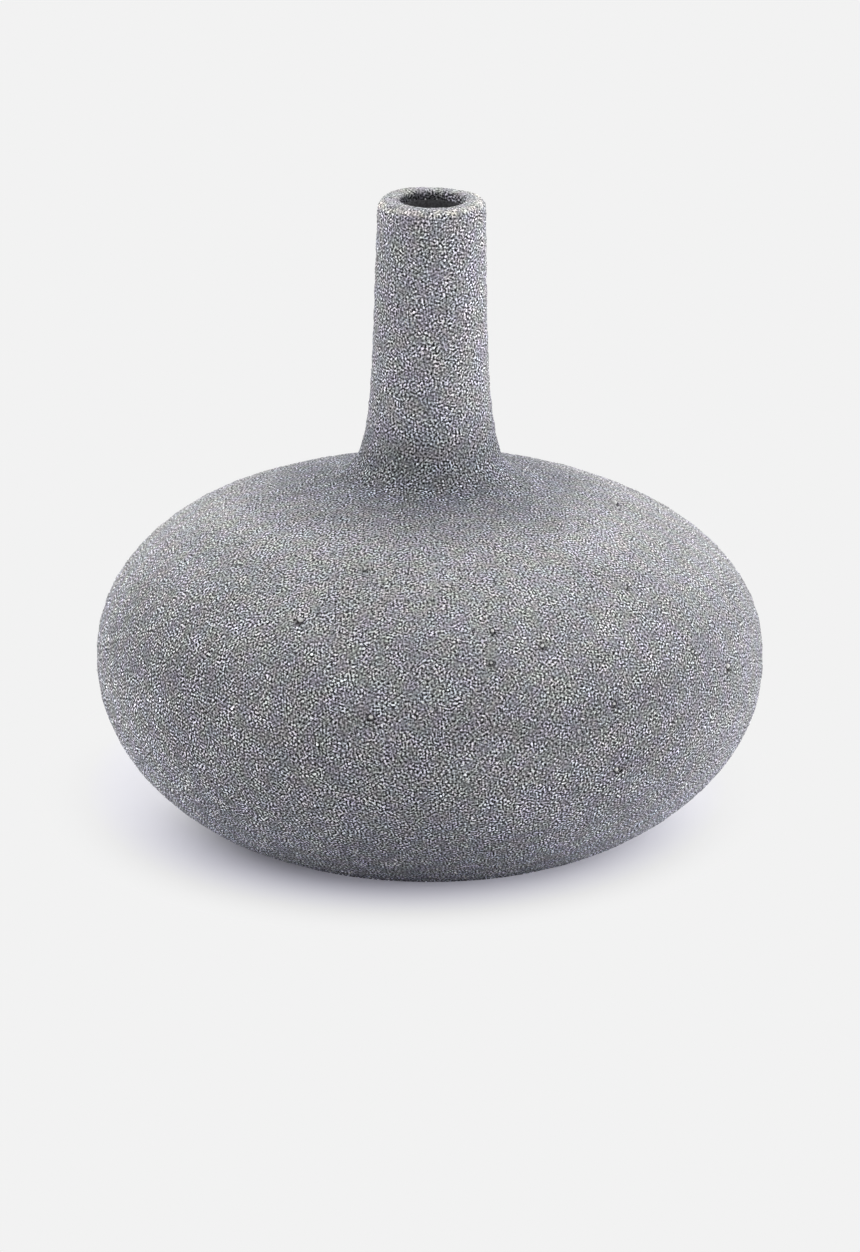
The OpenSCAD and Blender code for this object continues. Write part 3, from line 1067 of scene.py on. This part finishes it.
def makeLinerGlaze():
    thick = vase["glaze"]
    boreR = vase["boreR"]
    gap = glaze["rowGap"]
    throat = innerDome(throatR, inR - thick, thick, gap)
    faces = [(boreR - thick, glazeHigh.z), (boreR - thick, throat[0][1])] + throat
    faces += innerBowl(inR - thick, floorEdgeR(floorZ + thick, thick), thick, gap)[1:]
    faces += floorPoints(floorZ + thick)
    skin = turnSheet("linerGlaze", evenSteps(faces, gap), glaze["steps"])
    pushOut(skin, glaze["waves"])
    backs = [(boreR, glazeHigh.z), (boreR, neckLow.z)] + innerDome(throatR, inR, 0, gap)
    backs += innerBowl(inR, floorEdgeR(floorZ, 0), 0, gap)[1:]
    backs += floorPoints(floorZ)
    back = turnSheet("glazeBack", evenSteps(backs, gap)[::-1], glaze["steps"])
    piece = joinSheets(skin, back)
    bridgeWhere(piece, lambda r, z: z > glazeHigh.z - gap)
    finishPiece(piece, "liner_glaze", linerGlazeFinish)


def modelRock(name, subdivisions, jitter, seed):
    clearSelection()
    bpy.ops.mesh.primitive_ico_sphere_add(subdivisions=subdivisions, radius=1, location=(0, 0, 0))
    rock = bpy.context.object
    rock.name = name
    bpy.ops.object.mode_set(mode="EDIT")
    bpy.ops.mesh.select_all(action="SELECT")
    bpy.ops.transform.vertex_random(offset=jitter, seed=seed)
    bpy.ops.transform.resize(value=grog["squash"])
    bpy.ops.object.mode_set(mode="OBJECT")
    return rock


def placeRock(rock, spot, r, turn):
    copy = rock.copy()
    copy.data = rock.data.copy()
    bpy.context.collection.objects.link(copy)
    copy.location = spot
    copy.scale = (r, r, r)
    copy.rotation_euler = turn
    return copy


def makeGrogGrains():
    rng = random.Random(grog["seed"])
    skinPoints = np.concatenate(seats)
    coarse = modelRock("grogGrains", 3, grog["coarseJitter"], grog["seed"])
    pushOut(coarse, grog["lumps"])
    fine = modelRock("sandRock", 1, grog["sandJitter"], grog["seed"] + 1)
    copies = []
    for place in grog["places"] + grog["specks"]:
        centre, r = grainSpot(place)
        nearest = skinPoints[np.argmin(np.linalg.norm(skinPoints - np.array(centre), axis=1))]
        lean = math.hypot(nearest[0], nearest[1]) - bodyRAt(centre.z)
        flat = Vector((centre.x, centre.y, 0)).normalized()
        turn = [rng.uniform(0, 2 * math.pi) for _ in range(3)]
        spot = centre + flat * (lean + grog["standOut"])
        copies.append(placeRock(coarse, spot, r * grog["coarseSize"], turn))
    for i in rng.sample(range(len(skinPoints)), grog["sandCount"]):
        r = rng.uniform(*grog["sandR"])
        turn = [rng.uniform(0, 2 * math.pi) for _ in range(3)]
        copies.append(placeRock(fine, Vector(skinPoints[i]), r, turn))
    for rock in (coarse, fine):
        bpy.data.objects.remove(rock)
    clearSelection()
    for copy in copies:
        copy.select_set(True)
    piece = copies[0]
    bpy.context.view_layer.objects.active = piece
    bpy.ops.object.join()
    piece.name = "grogGrains"
    bpy.ops.object.transform_apply(location=True, rotation=True, scale=True)
    finishPiece(piece, "grog_grains", grogFinish, grog["sharpEdge"])


makeFootRing()
makeFootSlip()
makeLowerBowl()
makeBellySlip()
makeUpperBowl()
makeNeckSlip()
makeNeck()
makeLinerGlaze()
makeGrogGrains()
bpy.data.objects.remove(cage)
print("vase modelled")

# floor, light and camera
studio = {
    "floorSize": 16,
    "distance": 2.4,
    "elevation": 15,
    "aimZ": 0.052,
    "frameWidth": 0.2066,    # width of the view at the vase
    "paper": 0.888,
    "bounce": (0.66, 0.47, 1.0),    # shade of the floor as the vase sees it: left, below, right
    "bounceRight": (0.01, 0.09),
    "bounceLeft": (-0.14, -0.02),
    "shadowTint": (1.0, 0.98, 1.22, 1),
    "shadowCentre": (-0.006, 0.045, 0),
    "shadowWidth": 0.7,      # of its depth
    "shadowFades": (0.070, 0.130),
    "tintFades": (0.0, 0.8),
    "even": 0.25,            # light from all round
    "panels": [              # where each faces, how narrow it is, how strong
        ((0, 1, 0), 1, 1.2), ((1, 0, 0), 4, 1.8), ((-1, 0, 0), 4, 0.3),
    ],
    "suns": [                # name, degrees round from the front, degrees up, strength, softness
        ("backSun", 180, 40, 0.8, 50),
        ("lowRightSun", 80, 4, 0.5, 20),
        ("frontSun", -10, 10, 0.2, 40),
        ("lowLeftSun", -80, 4, 0.4, 20),
        ("topLeftSun", -75, 50, 0.5, 40),
        ("topRightSun", 75, 50, 0.3, 40),
    ],
}


def seenDirectly(tree):
    path = addNode(tree, "ShaderNodeLightPath").outputs
    seen = maths(tree, "MAXIMUM", path["Is Camera Ray"], path["Is Glossy Ray"])
    return maths(tree, "MAXIMUM", seen, path["Is Transmission Ray"])


def makeFloor():
    clearSelection()
    bpy.ops.mesh.primitive_plane_add(size=studio["floorSize"], location=(0, 0, 0))
    floor = bpy.context.object
    floor.name = "floor"
    material = bpy.data.materials.new("palePaper")
    material.use_nodes = True
    tree = material.node_tree
    shader = tree.nodes["Principled BSDF"]
    seen = seenDirectly(tree)
    # near the vase the paper shows its shadow, and further out it is evenly pale
    place = addNode(tree, "ShaderNodeTexCoord").outputs["Object"]
    away = vectorMaths(tree, "SUBTRACT", place, studio["shadowCentre"])
    away = vectorMaths(tree, "MULTIPLY", away, (1 / studio["shadowWidth"], 1, 1))
    length = addNode(tree, "ShaderNodeVectorMath", operation="LENGTH")
    feed(tree, length, i0=away)
    clear = spread(tree, length.outputs["Value"], *studio["shadowFades"])
    parts = addNode(tree, "ShaderNodeSeparateXYZ")
    feed(tree, parts, Vector=place)
    left, below, right = studio["bounce"]
    bounce = spread(tree, parts.outputs["X"], *studio["bounceRight"], below, right)
    leftward = spread(tree, parts.outputs["X"], *studio["bounceLeft"], left - below, 0.0)
    bounce = maths(tree, "ADD", bounce, leftward)
    paper = studio["paper"]
    shaded = maths(tree, "SUBTRACT", 1.0, clear)
    shown = vectorMaths(tree, "SCALE", (paper, paper, paper), scale=shaded)
    colour = blendColours(tree, "MIX", seen, vectorMaths(tree, "SCALE", (1, 1, 1), scale=bounce), shown)
    glow = maths(tree, "MULTIPLY", maths(tree, "MULTIPLY", clear, seen), paper)
    untinted = spread(tree, clear, *studio["tintFades"], 0.0, 1.0, "LINEAR")
    tint = blendColours(tree, "MIX", untinted, studio["shadowTint"], (1, 1, 1, 1))
    feed(tree, shader, Base_Color=colour, Emission_Color=vectorMaths(tree, "SCALE", tint, scale=glow))
    shader.inputs["Emission Strength"].default_value = 1
    shader.inputs["Roughness"].default_value = 1
    shader.inputs["Specular IOR Level"].default_value = 0
    floor.data.materials.append(material)


def addSun(name, azimuth, elevation, strength, angle):
    # azimuth 0 is the front, positive to the right
    a, e = math.radians(azimuth), math.radians(elevation)
    toLight = Vector((math.sin(a) * math.cos(e), -math.cos(a) * math.cos(e), math.sin(e)))
    bpy.ops.object.light_add(type="SUN", location=toLight * 2)
    sun = bpy.context.object
    sun.name = name
    sun.rotation_euler = toLight.to_track_quat("Z", "Y").to_euler()
    sun.data.energy = strength
    sun.data.angle = math.radians(angle)


def makeWorld():
    # even light from all round, with a soft panel behind the vase and one on each side
    world = bpy.data.worlds.new("softStudio")
    bpy.context.scene.world = world
    world.use_nodes = True
    tree = world.node_tree
    toward = addNode(tree, "ShaderNodeTexCoord").outputs["Generated"]
    total = studio["even"]
    for direction, power, strength in studio["panels"]:
        facing = addNode(tree, "ShaderNodeVectorMath", operation="DOT_PRODUCT")
        feed(tree, facing, i0=toward, i1=direction)
        panel = maths(tree, "POWER", maths(tree, "MAXIMUM", facing.outputs["Value"], 0.0), power)
        panel = maths(tree, "MULTIPLY", panel, strength)
        total = maths(tree, "ADD", panel, total)
    mixed = addNode(tree, "ShaderNodeMix", data_type="FLOAT")
    feed(tree, mixed, Factor=seenDirectly(tree), A=total, B=studio["paper"])
    feed(tree, tree.nodes["Background"], Color=(1, 1, 1, 1), Strength=mixed.outputs["Result"])


def makeCamera():
    e = math.radians(studio["elevation"])
    aim = Vector((0, 0, studio["aimZ"]))
    spot = aim + studio["distance"] * Vector((0, -math.cos(e), math.sin(e)))
    bpy.ops.object.camera_add(location=spot)
    camera = bpy.context.object
    camera.rotation_euler = (spot - aim).to_track_quat("Z", "Y").to_euler()
    camera.data.sensor_fit = "HORIZONTAL"
    camera.data.sensor_width = 36
    camera.data.lens = 36 * studio["distance"] / studio["frameWidth"]
    camera.data.clip_end = 50
    bpy.context.scene.camera = camera


makeFloor()
makeWorld()
for sun in studio["suns"]:
    addSun(*sun)
makeCamera()
bpy.context.scene.view_settings.view_transform = "Standard"
print("stage ready")
